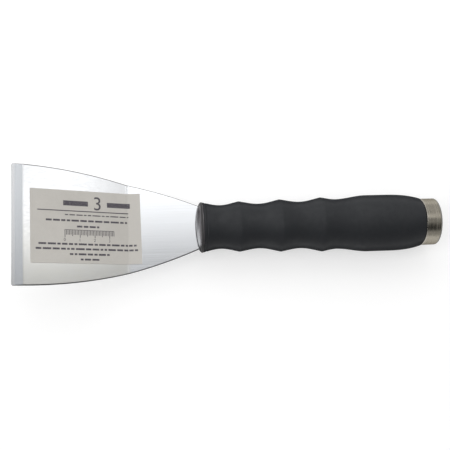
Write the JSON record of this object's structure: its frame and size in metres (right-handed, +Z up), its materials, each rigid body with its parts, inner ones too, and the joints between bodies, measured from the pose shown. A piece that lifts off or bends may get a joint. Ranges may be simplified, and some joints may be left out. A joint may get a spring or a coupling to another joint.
{
  "type": "scraper",
  "caption": "Bent pole scraper: bevelled steel blade cranked towards its face, ridged soft grip over a hard core, and a metal ferrule with a screw socket for an extension pole.",
  "frame": {"origin": "under the middle of the tool's length, on the surface that the grip's swell rests on", "axes": "+X from the working edge to the butt along the handle's axis, +Y across the blade, +Z up out of the labelled face"},
  "size_m": [0.2806, 0.0762, 0.0473],
  "materials": {
    "blade_steel": "ground and lightly brushed carbon steel, satin",
    "label_paper": null,
    "core_plastic": "glossy moulded dark grey plastic",
    "grip_rubber": "matt black moulded soft grip",
    "ferrule_nickel": "turned steel with a warm satin nickel plate",
    "pin_steel": "bright drawn steel"
  },
  "bodies": {
    "root": {"blade": "blade_steel", "blade_label": "label_paper", "handle_core": "core_plastic", "soft_grip": "grip_rubber", "end_ferrule": "ferrule_nickel", "tang_pin_front": "pin_steel", "tang_pin_rear": "pin_steel", "ferrule_pin": "pin_steel"}
  },
  "joints": []
}
